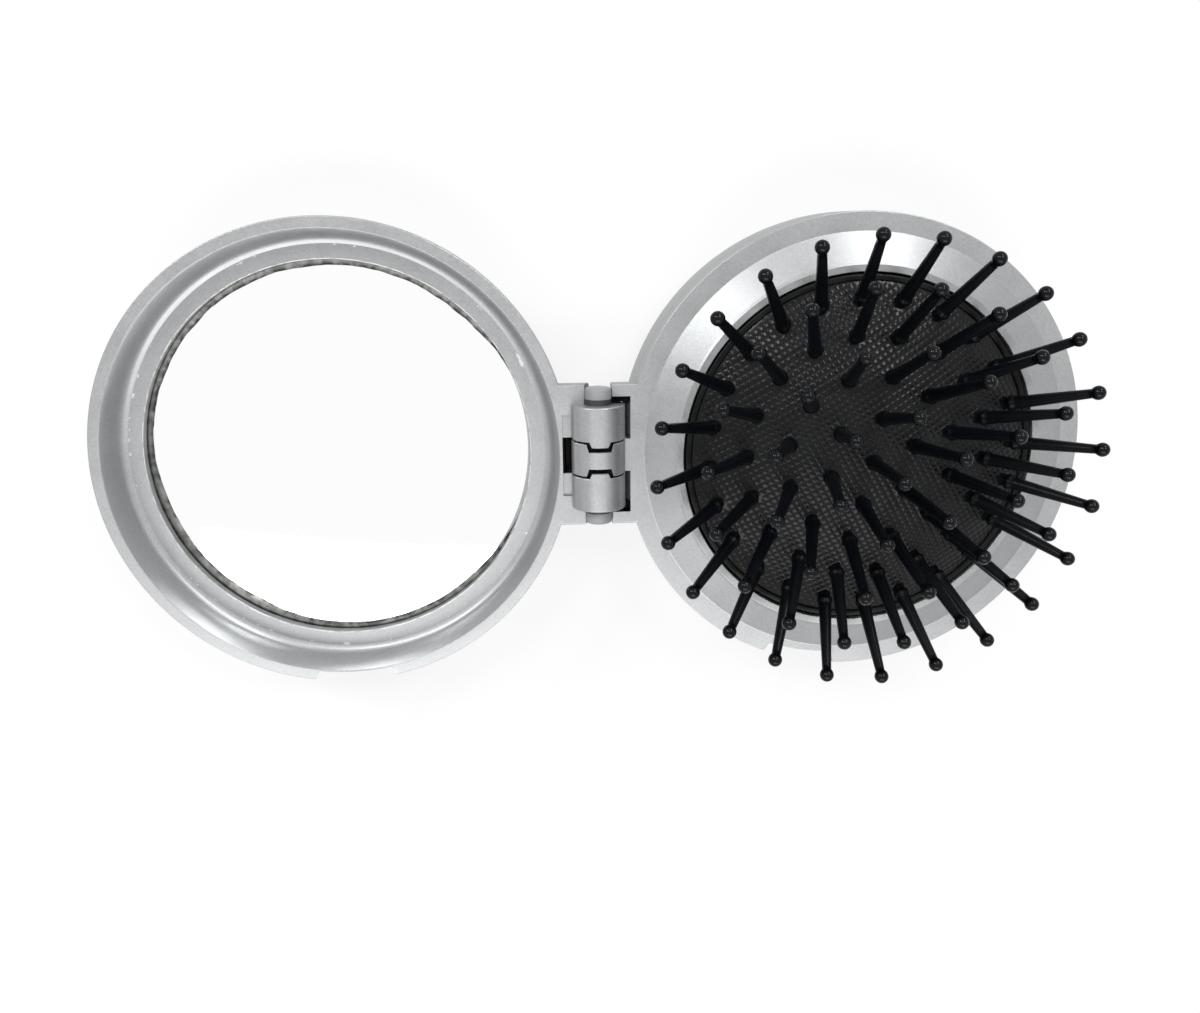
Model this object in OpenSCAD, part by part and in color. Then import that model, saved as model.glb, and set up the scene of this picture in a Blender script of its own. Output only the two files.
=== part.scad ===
// Folding compact hairbrush with a mirror lid, shown open.
// Origin: on the resting surface below the hinge axis. +Z is up, the brush half lies towards +X
// and the lid towards -X. The hinge axis runs along Y.

/* [Halves] */
// Diameter of both round halves over the rim
rim_d = 68; // [66:1:70]
// Height of each half, underside to parting plane
half_h = 14; // [14:0.5:16]
// Distance from the rim of each half to the hinge axis
hinge_reach = 4; // [4:0.1:4.4]
// Wall thickness of the casings
wall = 1.8; // [1.6:0.1:1.9]

/* [Mirror] */
// Depth of the mirror face below the parting plane
mirror_depth = 7; // [7:0.1:7.4]
// Radius of the opening in front of the mirror
mirror_view_r = 28.1; // [27:0.1:28.3]
// Thickness of the mirror glass
glass_t = 2; // [1.6:0.1:2]

/* [Hinge] */
// Outer diameter of the hinge knuckles
knuckle_d = 7.8; // [7:0.1:7.8]
// Diameter of the hinge pin
pin_d = 3.8; // [3:0.1:4]
// Half length of the three knuckles together
knuckle_half = 7.6; // [7:0.1:8]
// Width of the middle knuckle
middle_w = 4.8; // [4:0.1:5.5]
// Half width of the tongue on each half
tongue_half = 10.4; // [10:0.1:11]

/* [Cushion] */
// Radius of the opening that the cushion stands in
pad_r = 25.8; // [25.6:0.1:26]
// Height of the cushion edge above the parting plane
edge_rise = 1.9; // [1.8:0.1:2]
// Rise of the dome from edge to crown
dome_rise = 6.3; // [6:0.1:6.5]
// Distance that the cushion sinks when the brush is closed
pad_travel = 9.5; // [9.4:0.1:9.6]
// Diameter of the push button in the underside
button_d = 29; // [24:1:30]

/* [Pins] */
// Length of a pin above the cushion
pin_len = 13.8; // [13:0.1:13.9]
// Diameter of the ball at the tip
ball_d = 2; // [1.8:0.1:2.1]
// Diameter of the shaft just below the ball
shaft_tip_d = 1.3; // [1.1:0.1:1.4]
// Diameter of the shaft at the root
shaft_root_d = 1.9; // [1.6:0.1:2]

/* [Hidden] */
$fn = 96;

silver = [0.76, 0.78, 0.79];
dark_grey = [0.32, 0.33, 0.34];
black = [0.06, 0.06, 0.065];
gap = 0.2;                          // between the closed rims, and end play of the knuckles
slack = 0.1;                        // round parts that lie inside each other

rim_r = rim_d / 2;
brush_x = rim_r + hinge_reach;      // centre of the brush half
lid_x = -brush_x;                   // centre of the open lid
part_z = half_h;                    // parting plane and hinge axis
rim_z = part_z - gap / 2;           // top of both flat rims

// Brush half
seam_z = part_z - 3;                // seam between the bezel and the back shell
flat_in_r = rim_r - 2.75;           // inner edge of the flat rim
collar_z = part_z + 2.3;            // top of the collar round the cushion
skirt_out_r = rim_r - wall - slack;
skirt_in_r = skirt_out_r - 1.5;
skirt_z = seam_z - 3;
brush_corner_r = 6;                 // rounding between the wall and the underside
well_r = button_d / 2 + 0.5;        // opening for the button in the underside

// Cushion and its carrier, in the raised position
edge_z = part_z + edge_rise;
dome_edge_r = pad_r - 1.2;
dome_sphere_r = (pow(dome_edge_r, 2) + pow(dome_rise, 2)) / (2 * dome_rise);
skin_t = 1.2;
bead_h = 1.4;
carrier_r = pad_r - 0.25;
carrier_wall = 0.55;
flange_r = carrier_r + 1.2;
flange_top_z = part_z + 0.25;
deck_z = edge_z - 2.75;             // clear of the pins' heads when the dome is flat
deck_t = 1;
button_t = deck_z - deck_t - pad_travel - 0.3;

// Pin rings: number of pins, radius at the root, tilt, azimuth of the first pin
first_ring = [6, 6.1, 11, 79.7];
second_ring = [12, 11.7, 23, 108.3];
third_ring = [18, 17, 36, 98.2];
outer_ring = [24, 21.9, 45, 93.4];
stem_d = 1.5;                       // where the pin passes the cushion
stem_hole_d = 1.7;
root_lift = 0.5;                    // start of the swollen root above the skin
root_d = 2.35;
head_d = 2.4;
head_t = 0.6;
head_top = -1.77;                   // below the skin, measured along the pin

// Lid
glass_r = mirror_view_r + 1.4;
glass_z = part_z - mirror_depth;    // mirror face
foam_t = 1;
cove_r = rim_r - 1.64;              // inner edge of the lid's flat rim
cove_foot_r = mirror_view_r + 2.13;
cove_depth = 5.3;
lip_z = part_z - cove_depth;        // level ring between the cove and the mirror
lip_t = 1.45;
lid_seam_z = part_z - 2.4;
lid_taper = 1.2;                    // how far the lid's wall draws in towards its back
lid_skirt_r = rim_r - 0.9;          // outside of the lid bezel's skirt at the seam; the cover is thin there
lid_corner_r = 7;

// Hinge
knuckle_r = knuckle_d / 2;
pin_r = pin_d / 2;
relief_r = knuckle_r + 0.8;         // hollow in the brush half for the lid's knuckles
window_r = knuckle_r + 1.3;         // hollow in the lid for the middle knuckle
window_half = 6;                    // half length of that hollow
middle_half = middle_w / 2;
running = 0.05;                     // radial clearance of the lid's knuckles on the pin
tongue_t = 2.2;
tongue_end = pin_r + 0.25;          // end of a tongue, measured from the hinge axis
relief_half = knuckle_half + 0.6;   // half length of the slot in the brush half
tab_w = 3;                          // click tab: width, length past the knuckle and thickness
tab_reach = 0.7;
tab_rise = 1.1;
click_depth = 1.1;                  // notch in the middle knuckle that the tab drops into
notch_depth = 4.4;                  // finger notches, down from the rim

function arc(cx, cz, r, from, to, steps = 8) =
    [for (k = [0:steps]) let (a = from + (to - from) * k / steps) [cx + r * cos(a), cz + r * sin(a)]];

// Height of the dome above its edge, drop below the outer face if thick is given
function dome_h(r, thick = 0) =
    sqrt(pow(dome_sphere_r - thick, 2) - r * r) - (dome_sphere_r - dome_rise);

// Azimuth of pin k of a ring; the pins run clockwise seen from above
function azimuth(ring, k) = ring[3] - 360 / ring[0] * k;

// A straight rod along the hinge axis, from y0 to y1
module hinge_rod(r, y0, y1) { translate([0, y1, part_z]) rotate([90, 0, 0]) cylinder(r = r, h = y1 - y0); }

// A box given by its low and high corners
module span_box(low, high) { translate(low) cube(high - low); }

// Finger notch down through a half's outer edge; from and to are azimuths about cx
module finger_notch(cx, from, to, in_r) {
    translate([cx, 0, rim_z - notch_depth]) linear_extrude(notch_depth + 1)
        polygon(concat(arc(0, 0, in_r, from + 1.6, to - 1.6), arc(0, 0, rim_r + 1, to, from)));
}

module brush_notch() { finger_notch(brush_x, 247.9, 267.7, flat_in_r + 0.1); }
module lid_notch() { finger_notch(lid_x, 260.6, 282.6, cove_r + 0.25); }

// Outline of a click tab or of its notch: w wide where it starts at y0, narrower at its end
module click_outline(w, y0, reach) {
    polygon([[-w / 2, y0], [w / 2, y0], [w / 2 - 0.35, y0 - reach], [-w / 2 + 0.35, y0 - reach]]);
}

// ---- brush half ----

module brush_profile() {
    polygon([[rim_r, seam_z], [rim_r, rim_z], [flat_in_r, rim_z], [pad_r + 1.3, collar_z - 0.2],
             [pad_r + 1, collar_z], [pad_r, collar_z], [pad_r, part_z + 0.5],
             [flange_r + 0.5, part_z + 0.5], [skirt_in_r, part_z - 1.7], [skirt_in_r, skirt_z],
             [skirt_out_r, skirt_z], [skirt_out_r, seam_z]]);
}

module brush_bezel() {
    color(silver) difference() {
        union() {
            difference() {
                union() {
                    translate([brush_x, 0, 0]) rotate_extrude() brush_profile();
                    difference() {
                        span_box([tongue_end, -tongue_half, rim_z - tongue_t], [hinge_reach + 4, tongue_half, rim_z]);
                        translate([brush_x, 0, 0]) cylinder(r = skirt_out_r, h = 2 * half_h);
                    }
                }
                for (y = [-relief_half, middle_half]) hinge_rod(relief_r, y, y + relief_half - middle_half);
            }
            hinge_rod(knuckle_r, -middle_half, middle_half);
            span_box([0, -middle_half, seam_z], [hinge_reach + 1, middle_half, rim_z]);
        }
        hinge_rod(pin_r, -rim_r, rim_r);
        for (turn = [0, 180])
            rotate(turn) translate([0, 0, part_z + knuckle_r - tab_rise - slack]) linear_extrude(9)
                click_outline(tab_w + 1.1, middle_half + slack, click_depth + slack);
        brush_notch();
    }
}

module brush_back_shell() {
    in_corner_r = brush_corner_r - wall;
    color(silver) difference() {
        translate([brush_x, 0, 0]) rotate_extrude() polygon(concat(
            [[well_r, 0]],
            arc(rim_r - brush_corner_r, brush_corner_r, brush_corner_r, -90, 0),
            [[rim_r, seam_z], [rim_r - wall, seam_z]],
            arc(rim_r - brush_corner_r, brush_corner_r, in_corner_r, 0, -90),
            [[well_r + 1.2, wall], [well_r + 1.2, wall + 0.6], [well_r, wall + 0.6]]));
        brush_notch();
    }
}

module hinge_pin() { color(dark_grey) hinge_rod(pin_r, -tongue_half + 0.4, tongue_half - 0.4); }

// ---- raised pad ----

module carrier_ring() {
    wall_in_r = carrier_r - carrier_wall;
    color(black) translate([brush_x, 0, 0]) difference() {
        rotate_extrude() polygon([
            [0, deck_z - deck_t], [flange_r, deck_z - deck_t], [flange_r, flange_top_z],
            [carrier_r, flange_top_z], [carrier_r, edge_z + 0.2], [dome_edge_r + 0.2, edge_z + 0.2],
            [dome_edge_r, edge_z], [dome_edge_r, edge_z - 0.4], [wall_in_r, edge_z - 0.4],
            [wall_in_r, deck_z], [0, deck_z]]);
        // vents, so that the dome can sink
        for (a = [0:60:300])
            rotate(a) translate([19, 0, deck_z - deck_t - 1]) cylinder(r = 2.5, h = deck_t + 2);
    }
}

module cushion_clamp_ring() {
    out_r = carrier_r - carrier_wall - slack / 2;
    color(black) translate([brush_x, 0, deck_z]) difference() {
        cylinder(r = out_r, h = edge_z - bead_h - deck_z);
        translate([0, 0, -1]) cylinder(r = out_r - 1.6, h = 9);
    }
}

module cushion() {
    bead_r = carrier_r - carrier_wall;
    in_r = bead_r - 1.7;
    n = 14;
    outer = [for (k = [0:n]) let (r = dome_edge_r * k / n) [r, edge_z + dome_h(r)]];
    inner = [for (k = [n:-1:0]) let (r = in_r * k / n) [r, edge_z + dome_h(r, skin_t)]];
    color(black) difference() {
        translate([brush_x, 0, 0]) rotate_extrude() polygon(concat(
            outer,
            [[dome_edge_r, edge_z - 0.4], [bead_r, edge_z - 0.4], [bead_r, edge_z - bead_h], [in_r, edge_z - bead_h]],
            inner));
        pin_place([1, 0, 0, 0], 0) stem_hole();
        for (ring = [first_ring, second_ring, third_ring, outer_ring])
            for (k = [0:ring[0] - 1])
                pin_place(ring, k) stem_hole();
    }
}

module stem_hole() { translate([0, 0, -4]) cylinder(d = stem_hole_d, h = 7); }

module push_button() {
    color(dark_grey) translate([brush_x, 0, deck_z - deck_t - button_t])
        rotate_extrude() polygon([[0, 0], [button_d / 2 - 0.5, 0], [button_d / 2, 0.5],
                                  [button_d / 2, button_t], [0, button_t]]);
}

// ---- pins ----

// Puts its children at the root of pin k of a ring, with +Z along the pin
module pin_place(ring, k) {
    a = azimuth(ring, k);
    translate([brush_x, 0, edge_z + dome_h(ring[1])])
        rotate([0, 0, a]) translate([ring[1], 0, 0]) rotate([0, ring[2], 0]) children();
}

// One pin, standing on the skin at z = 0
module pin() {
    neck_z = pin_len - ball_d + 0.25;
    color(black) {
        rotate_extrude() polygon([
            [0, head_top - head_t], [head_d / 2 - 0.2, head_top - head_t], [head_d / 2, head_top - head_t + 0.2],
            [head_d / 2, head_top], [stem_d / 2, head_top], [stem_d / 2, root_lift],
            [root_d / 2 - 0.1, root_lift], [root_d / 2, root_lift + 0.3], [root_d / 2 - 0.05, root_lift + 0.7],
            [shaft_root_d / 2, root_lift + 1.3], [shaft_tip_d / 2, neck_z], [0, neck_z]]);
        translate([0, 0, pin_len - ball_d / 2]) sphere(d = ball_d);
    }
}

// Pins first to last of a ring
module pin_group(ring, first, last) {
    for (k = [first:last]) pin_place(ring, k) pin();
}

// ---- lid ----

module lid_profile() {
    cove = [for (a = [0:10:90]) [cove_foot_r + (cove_r - cove_foot_r) * cos(a), rim_z - (cove_depth - gap / 2) * sin(a)]];
    polygon(concat(
        [[rim_r, lid_seam_z], [rim_r, rim_z]], cove,
        [[mirror_view_r, lip_z], [mirror_view_r, lip_z - lip_t], [glass_r + slack, lip_z - lip_t],
         [glass_r + slack, glass_z - 1], [glass_r + 1.1, glass_z - 1],
         [rim_r - wall - lid_taper - 0.25, glass_z], [lid_skirt_r, lid_seam_z]]));
}

module lid_bezel() {
    color(silver) difference() {
        union() {
            difference() {
                union() {
                    translate([lid_x, 0, 0]) rotate_extrude() lid_profile();
                    difference() {
                        span_box([-hinge_reach - 4, -tongue_half, rim_z - tongue_t], [-tongue_end, tongue_half, rim_z]);
                        translate([lid_x, 0, 0]) cylinder(r = cove_r + 0.5, h = 2 * half_h);
                    }
                }
                hinge_rod(window_r, -window_half, window_half);
            }
            for (y = [-knuckle_half, middle_half + gap]) {
                w = knuckle_half - middle_half - gap;
                hinge_rod(knuckle_r, y, y + w);
                span_box([-hinge_reach - 1.5, y, lid_seam_z], [0, y + w, rim_z]);
            }
        }
        hinge_rod(pin_r + running, -rim_r, rim_r);
        lid_notch();
    }
}

module lid_back_cover() {
    foot_r = rim_r - lid_taper;
    rib_h = glass_z - glass_t - foam_t - wall / 2;
    cx = foot_r - lid_corner_r;
    color(silver) {
        difference() {
            translate([lid_x, 0, 0]) rotate_extrude() polygon(concat(
                [[0, 0]], arc(cx, lid_corner_r, lid_corner_r, -90, 0),
                [[rim_r, lid_seam_z], [lid_skirt_r + slack, lid_seam_z]],
                arc(cx, lid_corner_r, lid_corner_r - wall, 0, -90), [[0, wall]]));
            lid_notch();
        }
        // ribs that carry the foam pad, rooted in the back
        translate([lid_x, 0, wall / 2]) {
            for (r = [11, 22]) difference() {
                cylinder(r = r, h = rib_h);
                translate([0, 0, -1]) cylinder(r = r - 1.5, h = rib_h + 2);
            }
            for (a = [30:60:330]) rotate(a) translate([10, -0.75, 0]) cube([11, 1.5, rib_h - 0.5]);
        }
    }
}

module mirror_glass() {
    color([0.85, 0.88, 0.9]) translate([lid_x, 0, glass_z - glass_t]) cylinder(r = glass_r, h = glass_t);
}

module mirror_foam_pad() {
    color([0.5, 0.5, 0.5]) translate([lid_x, 0, glass_z - glass_t - foam_t]) cylinder(r = mirror_view_r - 1.5, h = foam_t);
}

// Spring tab on a lid knuckle that clicks into the middle knuckle; side is +1 or -1 along Y
module click_tab(side) {
    color(silver) rotate(side > 0 ? 0 : 180) intersection() {
        translate([0, 0, part_z + knuckle_r - tab_rise]) linear_extrude(tab_rise)
            click_outline(tab_w, middle_half + gap, tab_reach);
        hinge_rod(knuckle_r, 0, rim_r);
    }
}

brush_back_shell();
brush_bezel();
hinge_pin();
carrier_ring();
cushion();
cushion_clamp_ring();
push_button();
lid_bezel();
lid_back_cover();
mirror_glass();
mirror_foam_pad();
click_tab(1);  // upper_click_tab
click_tab(-1);  // lower_click_tab
pin_place([1, 0, 0, 0], 0) pin();  // centre_pin
for (k = [1:6]) pin_group(first_ring, k - 1, k - 1);
for (k = [1:6]) pin_group(second_ring, 2 * k - 2, 2 * k - 1);
for (k = [1:9]) pin_group(third_ring, 2 * k - 2, 2 * k - 1);
for (k = [1:12]) pin_group(outer_ring, 2 * k - 2, 2 * k - 1);
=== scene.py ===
import math

import bmesh
import bpy
import numpy as np
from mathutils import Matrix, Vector


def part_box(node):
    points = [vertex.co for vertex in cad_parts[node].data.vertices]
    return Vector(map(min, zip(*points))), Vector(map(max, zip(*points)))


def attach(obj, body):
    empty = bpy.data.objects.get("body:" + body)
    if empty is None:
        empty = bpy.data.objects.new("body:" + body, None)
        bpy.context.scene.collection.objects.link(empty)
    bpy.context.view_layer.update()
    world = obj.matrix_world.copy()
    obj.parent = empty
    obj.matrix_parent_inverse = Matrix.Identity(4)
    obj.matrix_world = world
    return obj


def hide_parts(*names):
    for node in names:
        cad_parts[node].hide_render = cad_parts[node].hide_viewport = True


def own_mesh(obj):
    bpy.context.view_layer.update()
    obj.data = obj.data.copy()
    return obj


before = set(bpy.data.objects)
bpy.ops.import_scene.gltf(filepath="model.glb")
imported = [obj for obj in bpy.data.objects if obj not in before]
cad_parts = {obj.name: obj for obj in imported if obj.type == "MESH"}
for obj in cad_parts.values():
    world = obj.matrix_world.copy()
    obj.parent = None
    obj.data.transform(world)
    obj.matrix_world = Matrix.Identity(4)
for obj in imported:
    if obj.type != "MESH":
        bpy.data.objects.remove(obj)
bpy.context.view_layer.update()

mm = 0.001
scene = bpy.context.scene
scene.view_settings.view_transform = "Standard"
dice = np.random.default_rng(11)    # the same draws at each run


def nodeBox(node):
    # Lowest and highest corner of a node, in millimetres
    low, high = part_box(node)
    return np.array(low) / mm, np.array(high) / mm


shellLow, shellHigh = nodeBox("brush_back_shell")
coverHigh = nodeBox("lid_back_cover")[1]
glassLow, glassHigh = nodeBox("mirror_glass")
foamLow, foamHigh = nodeBox("mirror_foam_pad")
axleLow, axleHigh = nodeBox("hinge_pin")
carrierLow, carrierHigh = nodeBox("carrier_ring")
clampLow, clampHigh = nodeBox("cushion_clamp_ring")
cushionHigh = nodeBox("cushion")[1]
buttonLow, buttonHigh = nodeBox("push_button")
tabLow, tabHigh = nodeBox("upper_click_tab")

rimGap = 0.1    # each rim stays this far below the hinge axis, so the halves shut with a small gap
hingeZ = (axleLow[2] + axleHigh[2]) / 2
axleRadius = (axleHigh[2] - axleLow[2]) / 2
brushX = (shellLow[0] + shellHigh[0]) / 2
lidX = (glassLow[0] + glassHigh[0]) / 2
rimRadius = shellHigh[1]
rimTop = hingeZ - rimGap
brushSeam = shellHigh[2]
lidSeam = coverHigh[2]


# Place in millimetres, turn in degrees, lens and sensor as on a camera
photoView = dict(place=(-9.99, 32.68, 161.09), turn=(-15.273, -4.089, -0.522), lens=31.1, sensor=36)


def addCamera():
    data = bpy.data.cameras.new("photoCamera")
    data.lens = photoView["lens"]
    data.sensor_width = photoView["sensor"]
    data.clip_start = 0.01
    camera = bpy.data.objects.new("photoCamera", data)
    camera.location = [v * mm for v in photoView["place"]]
    camera.rotation_euler = [math.radians(v) for v in photoView["turn"]]
    scene.collection.objects.link(camera)
    scene.camera = camera


# Each lamp stands at a distance in a direction from the object and faces it; sizes in metres, power in watts
lamps = dict(
    leftWindow=dict(towards=(-0.66, 0.55, 0.52), distance=1.2, size=(0.25, 0.25), power=4.0),
    rightWindow=dict(towards=(0.38, 0.79, 0.47), distance=1.2, size=(0.25, 0.25), power=3.6),
    leftPanel=dict(towards=(-0.31, 0.54, 0.78), distance=1.1, size=(0.28, 0.28), power=2.7),
    rightPanel=dict(towards=(0.37, 0.49, 0.79), distance=1.1, size=(0.28, 0.28), power=3.0),
    nearCard=dict(towards=(-0.05, -0.61, 0.79), distance=1.0, size=(1.0, 0.5), power=6.3),
)


def addLamp(name, towards, distance, size, power):
    data = bpy.data.lights.new(name, "AREA")
    data.shape = "RECTANGLE"
    data.size, data.size_y = size
    data.energy = power
    lamp = bpy.data.objects.new(name, data)
    aim = np.array(towards) / np.linalg.norm(towards)
    lamp.location = aim * distance
    lamp.rotation_mode = "QUATERNION"
    lamp.rotation_quaternion = Vector(aim).to_track_quat("Z", "Y")
    scene.collection.objects.link(lamp)


def fill(tree, node, inputs):
    # Each input is a socket to link or a plain value to set
    for key, value in inputs.items():
        if isinstance(value, bpy.types.NodeSocket):
            tree.links.new(value, node.inputs[key])
        else:
            node.inputs[key].default_value = value
    return node


def addNode(tree, kind, inputs=None, **settings):
    node = tree.nodes.new(kind)
    for key, value in settings.items():
        setattr(node, key, value)
    return fill(tree, node, inputs or {})


def mathNode(tree, operation, first, second=0.0, clamp=False):
    inputs = {0: first, 1: second}
    return addNode(tree, "ShaderNodeMath", inputs, operation=operation, use_clamp=clamp).outputs[0]


def plus(tree, first, second):
    return mathNode(tree, "ADD", first, second)


def minus(tree, first, second):
    return mathNode(tree, "SUBTRACT", first, second)


def times(tree, first, second):
    return mathNode(tree, "MULTIPLY", first, second)


def squaredLength(tree, across, up):
    # across^2 + up^2
    return plus(tree, times(tree, across, across), times(tree, up, up))


def spread(tree, value, fromLow, fromHigh, toLow, toHigh):
    # Moves a value from one range to another, held at the ends
    inputs = {"Value": value, "From Min": fromLow, "From Max": fromHigh, "To Min": toLow, "To Max": toHigh}
    return addNode(tree, "ShaderNodeMapRange", inputs).outputs["Result"]


def noiseAt(tree, place, scale, detail):
    inputs = {"Vector": place, "Scale": scale, "Detail": detail}
    return addNode(tree, "ShaderNodeTexNoise", inputs).outputs["Fac"]


def mixColour(tree, factor, first, second):
    # Colours are sockets or plain values; a mix node's colours are its inputs 6 and 7 and its output 2
    inputs = {"Factor": factor}
    for number, value in ((6, first), (7, second)):
        inputs[number] = value if isinstance(value, bpy.types.NodeSocket) else (*value, 1)
    return addNode(tree, "ShaderNodeMix", inputs, data_type="RGBA").outputs[2]


def mixValue(tree, factor, first, second):
    # A mix node's plain values are its inputs 2 and 3
    return addNode(tree, "ShaderNodeMix", {0: factor, 2: first, 3: second}).outputs[0]


def bumpFrom(tree, height, strength, depth):
    inputs = {"Height": height, "Strength": strength, "Distance": depth * mm}
    return addNode(tree, "ShaderNodeBump", inputs).outputs[0]


def newGroup(name, inputs, outputs):
    # Inputs and outputs are given as title: kind of socket
    group = bpy.data.node_groups.new(name, "ShaderNodeTree")
    for side, sockets in (("INPUT", inputs), ("OUTPUT", outputs)):
        for title, kind in sockets.items():
            group.interface.new_socket(title, in_out=side, socket_type="NodeSocket" + kind)
    return group, group.nodes.new("NodeGroupInput").outputs, group.nodes.new("NodeGroupOutput")


def useGroup(tree, group, inputs):
    return addNode(tree, "ShaderNodeGroup", inputs, node_tree=group).outputs


def emptyTree(owner):
    owner.use_nodes = True
    owner.node_tree.nodes.clear()
    return owner.node_tree


def newMaterial(name, inputs):
    material = bpy.data.materials.new(name)
    tree = emptyTree(material)
    shader = addNode(tree, "ShaderNodeBsdfPrincipled", inputs)
    addNode(tree, "ShaderNodeOutputMaterial", {"Surface": shader.outputs[0]})
    return material, tree, shader, addNode(tree, "ShaderNodeTexCoord").outputs["Object"]


# Widths and distances in metres; the floor's share that takes shadows fades out between two distances
studio = dict(airForMatt=0.1, floorWidth=3.0, floorWhite=0.92, floorGlow=1.03,
              shadowShare=0.25, shadowFrom=0.15, shadowTo=0.5)
white = (1, 1, 1, 1)


def seenRays(tree):
    # 1 for what the camera sees, also in mirrors and through glass
    path = addNode(tree, "ShaderNodeLightPath").outputs
    seen = mathNode(tree, "MAXIMUM", path["Is Camera Ray"], path["Is Glossy Ray"])
    return mathNode(tree, "MAXIMUM", seen, path["Is Transmission Ray"])


def addWorld():
    world = bpy.data.worlds.new("studioAir")
    scene.world = world
    tree = emptyTree(world)
    strength = spread(tree, seenRays(tree), 0, 1, studio["airForMatt"], 1.0)
    air = addNode(tree, "ShaderNodeBackground", {"Color": white, "Strength": strength})
    addNode(tree, "ShaderNodeOutputWorld", {"Surface": air.outputs[0]})


def addFloor():
    half = studio["floorWidth"] / 2
    corners = [(-half, -half, 0), (half, -half, 0), (half, half, 0), (-half, half, 0)]
    mesh = bpy.data.meshes.new("floor")
    mesh.from_pydata(corners, [], [(0, 1, 2, 3)])
    floor = bpy.data.objects.new("floor", mesh)
    scene.collection.objects.link(floor)
    material = bpy.data.materials.new("floorPaper")
    tree = emptyTree(material)
    paperWhite = studio["floorWhite"]
    glow = addNode(tree, "ShaderNodeEmission", {"Color": white, "Strength": studio["floorGlow"]})
    paper = addNode(tree, "ShaderNodeBsdfDiffuse", {"Color": (paperWhite, paperWhite, paperWhite, 1)})
    place = addNode(tree, "ShaderNodeTexCoord").outputs["Object"]
    far = addNode(tree, "ShaderNodeVectorMath", {0: place}, operation="LENGTH").outputs["Value"]
    plain = spread(tree, far, studio["shadowFrom"], studio["shadowTo"], 1 - studio["shadowShare"], 1)
    share = times(tree, seenRays(tree), plain)
    top = addNode(tree, "ShaderNodeMixShader", {0: share, 1: paper.outputs[0], 2: glow.outputs[0]})
    # from below the floor is clear, so that the underside can be looked at
    clear = addNode(tree, "ShaderNodeBsdfTransparent")
    back = addNode(tree, "ShaderNodeNewGeometry").outputs["Backfacing"]
    both = addNode(tree, "ShaderNodeMixShader", {0: back, 1: top.outputs[0], 2: clear.outputs[0]})
    addNode(tree, "ShaderNodeOutputMaterial", {"Surface": both.outputs[0]})
    mesh.materials.append(material)


addCamera()
addWorld()
addFloor()
for lampName, lampValues in lamps.items():
    addLamp(lampName, **lampValues)
print("camera, floor and lamps are in place")


# Scales are in cells per metre
flakes = dict(mottleScale=160.0, mottle=0.025, rough=(0.31, 0.38), flakeRough=0.06, flakeHeight=0.4,
              fineScale=2600.0)


def makeFlakeGroup():
    # Metallic flakes: each small cell gets its own shade, over a slow mottling; noise stays near 0.3 to 0.7
    group, inlet, outlet = newGroup(
        "flakes",
        {"Place": "Vector", "Colour": "Color", "Flake Scale": "Float", "Sparkle": "Float"},
        {"Colour": "Color", "Roughness": "Float", "Height": "Float"})
    cells = addNode(group, "ShaderNodeTexVoronoi", {"Vector": inlet["Place"], "Scale": inlet["Flake Scale"]})
    shade = addNode(group, "ShaderNodeSeparateColor", {"Color": cells.outputs["Color"]}).outputs["Red"]
    slow = noiseAt(group, inlet["Place"], flakes["mottleScale"], 4.0)
    fine = noiseAt(group, inlet["Place"], flakes["fineScale"], 2.0)
    swing = times(group, minus(group, shade, 0.5), inlet["Sparkle"])
    drift = spread(group, slow, 0.3, 0.7, -flakes["mottle"], flakes["mottle"])
    factor = plus(group, plus(group, swing, drift), 1.0)
    tint = addNode(group, "ShaderNodeVectorMath", {0: inlet["Colour"], "Scale": factor}, operation="SCALE")
    slowRough = spread(group, slow, 0.3, 0.7, *flakes["rough"])
    fill(group, outlet, {
        "Colour": tint.outputs[0],
        "Roughness": plus(group, slowRough, times(group, shade, flakes["flakeRough"])),
        "Height": plus(group, times(group, shade, flakes["flakeHeight"]), fine)})
    return group


patchScale = 220.0    # of the grain's slow noise


def makeGrainGroup():
    # Fine moulded grain: two sizes of noise, as a height, a swing of roughness and a mask of lighter patches
    group, inlet, outlet = newGroup(
        "grain",
        {"Place": "Vector", "Scale": "Float", "Rough Low": "Float", "Rough High": "Float"},
        {"Height": "Float", "Roughness": "Float", "Mask": "Float"})
    fine = noiseAt(group, inlet["Place"], inlet["Scale"], 3.0)
    slow = noiseAt(group, inlet["Place"], patchScale, 4.0)
    blend = times(group, plus(group, fine, slow), 0.5)
    fill(group, outlet, {
        "Height": fine,
        "Roughness": spread(group, blend, 0.35, 0.65, inlet["Rough Low"], inlet["Rough High"]),
        "Mask": spread(group, slow, 0.35, 0.7, 0, 1)})
    return group


def makeRimWearGroup():
    # Chips along a circle: 1 where (1 - |r - radius| / width) * (noise + amount - 1) is over a small limit
    group, inlet, outlet = newGroup(
        "rimWear",
        {"Place": "Vector", "Centre X": "Float", "Radius": "Float", "Width": "Float", "Scale": "Float",
         "Amount": "Float"},
        {"Mask": "Float"})
    parts = addNode(group, "ShaderNodeSeparateXYZ", {0: inlet["Place"]}).outputs
    across = minus(group, parts["X"], inlet["Centre X"])
    r = mathNode(group, "SQRT", squaredLength(group, across, parts["Y"]))
    off = mathNode(group, "ABSOLUTE", minus(group, r, inlet["Radius"]))
    near = mathNode(group, "SUBTRACT", 1.0, mathNode(group, "DIVIDE", off, inlet["Width"]), clamp=True)
    chips = noiseAt(group, inlet["Place"], inlet["Scale"], 5.0)
    level = plus(group, chips, minus(group, inlet["Amount"], 1.0))
    fill(group, outlet, {"Mask": mathNode(group, "GREATER_THAN", times(group, near, level), 0.06)})
    return group


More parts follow.
